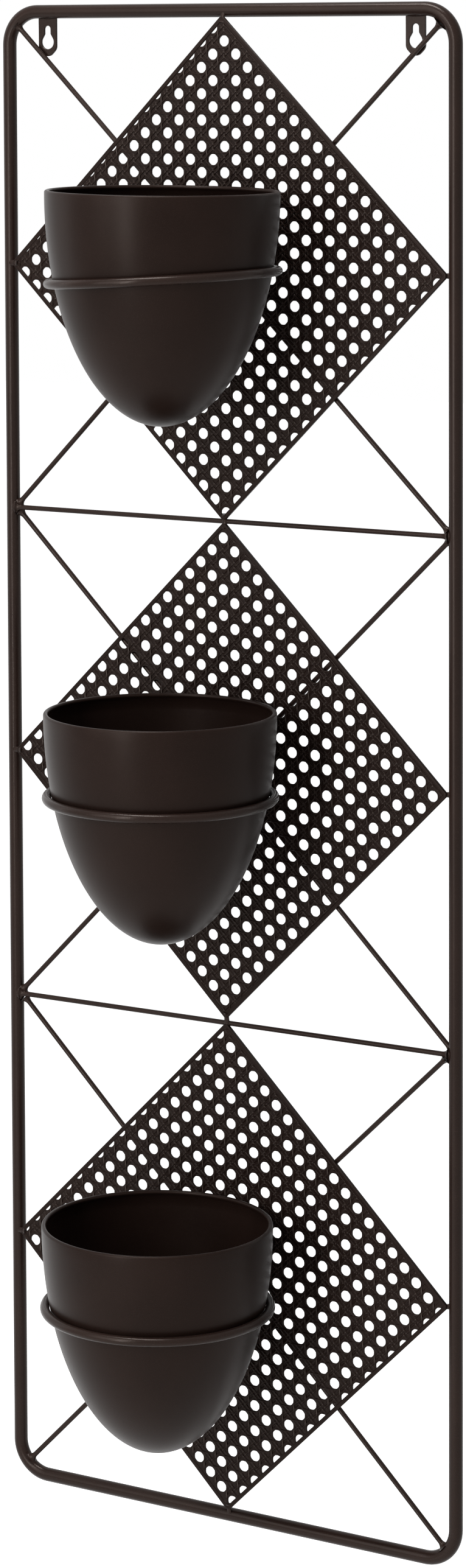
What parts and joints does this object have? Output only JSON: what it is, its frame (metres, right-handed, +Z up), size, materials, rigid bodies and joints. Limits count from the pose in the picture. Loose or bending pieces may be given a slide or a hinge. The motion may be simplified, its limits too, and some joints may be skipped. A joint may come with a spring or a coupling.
{
  "type": "wall planter",
  "caption": "Tall wall frame of round tube with square cane-pattern metal panels set on their corners, each with a wire ring that holds a lift-out egg-shaped metal pot.",
  "frame": {"origin": "in the wall plane, midway between the screw seats of the two keyholes in the hanger plates", "axes": "+Z up along the frame, +X to the right seen from the front, +Y into the wall; the pots stand out towards -Y"},
  "size_m": [0.362, 0.1697, 1.0564],
  "materials": {
    "frame_coat": "dark brown-bronze powder coat, satin",
    "panel_coat": "dark brown-bronze powder coat on embossed sheet, satin",
    "pot_coat": "dark brown-bronze powder coat, fine matt"
  },
  "bodies": {
    "frame": {"frame_tube": "frame_coat", "crossbar_upper": "frame_coat", "crossbar_lower": "frame_coat", "hanger_plate_left": "frame_coat", "hanger_plate_right": "frame_coat", "brace_upper_whole": "frame_coat", "brace_upper_high_right": "frame_coat", "brace_upper_low_left": "frame_coat", "cane_sheet_upper": "panel_coat", "rim_rod_upper_high_right": "panel_coat", "rim_rod_upper_high_left": "panel_coat", "rim_rod_upper_low_left": "panel_coat", "rim_rod_upper_low_right": "panel_coat", "pot_ring_upper": "frame_coat", "brace_middle_whole": "frame_coat", "brace_middle_high_right": "frame_coat", "brace_middle_low_left": "frame_coat", "cane_sheet_middle": "panel_coat", "rim_rod_middle_high_right": "panel_coat", "rim_rod_middle_high_left": "panel_coat", "rim_rod_middle_low_left": "panel_coat", "rim_rod_middle_low_right": "panel_coat", "pot_ring_middle": "frame_coat", "brace_lower_whole": "frame_coat", "brace_lower_high_right": "frame_coat", "brace_lower_low_left": "frame_coat", "cane_sheet_lower": "panel_coat", "rim_rod_lower_high_right": "panel_coat", "rim_rod_lower_high_left": "panel_coat", "rim_rod_lower_low_left": "panel_coat", "rim_rod_lower_low_right": "panel_coat", "pot_ring_lower": "frame_coat"},
    "upper_pot": {"pot_upper": "pot_coat"},
    "middle_pot": {"pot_middle": "pot_coat"},
    "lower_pot": {"pot_lower": "pot_coat"}
  },
  "joints": [
    {"name": "upper_pot_lift", "type": "slide", "parent": "frame", "child": "upper_pot", "axis": [0, 0, 1], "range_m": [0, 0.12]},
    {"name": "middle_pot_lift", "type": "slide", "parent": "frame", "child": "middle_pot", "axis": [0, 0, 1], "range_m": [0, 0.12]},
    {"name": "lower_pot_lift", "type": "slide", "parent": "frame", "child": "lower_pot", "axis": [0, 0, 1], "range_m": [0, 0.12]}
  ]
}
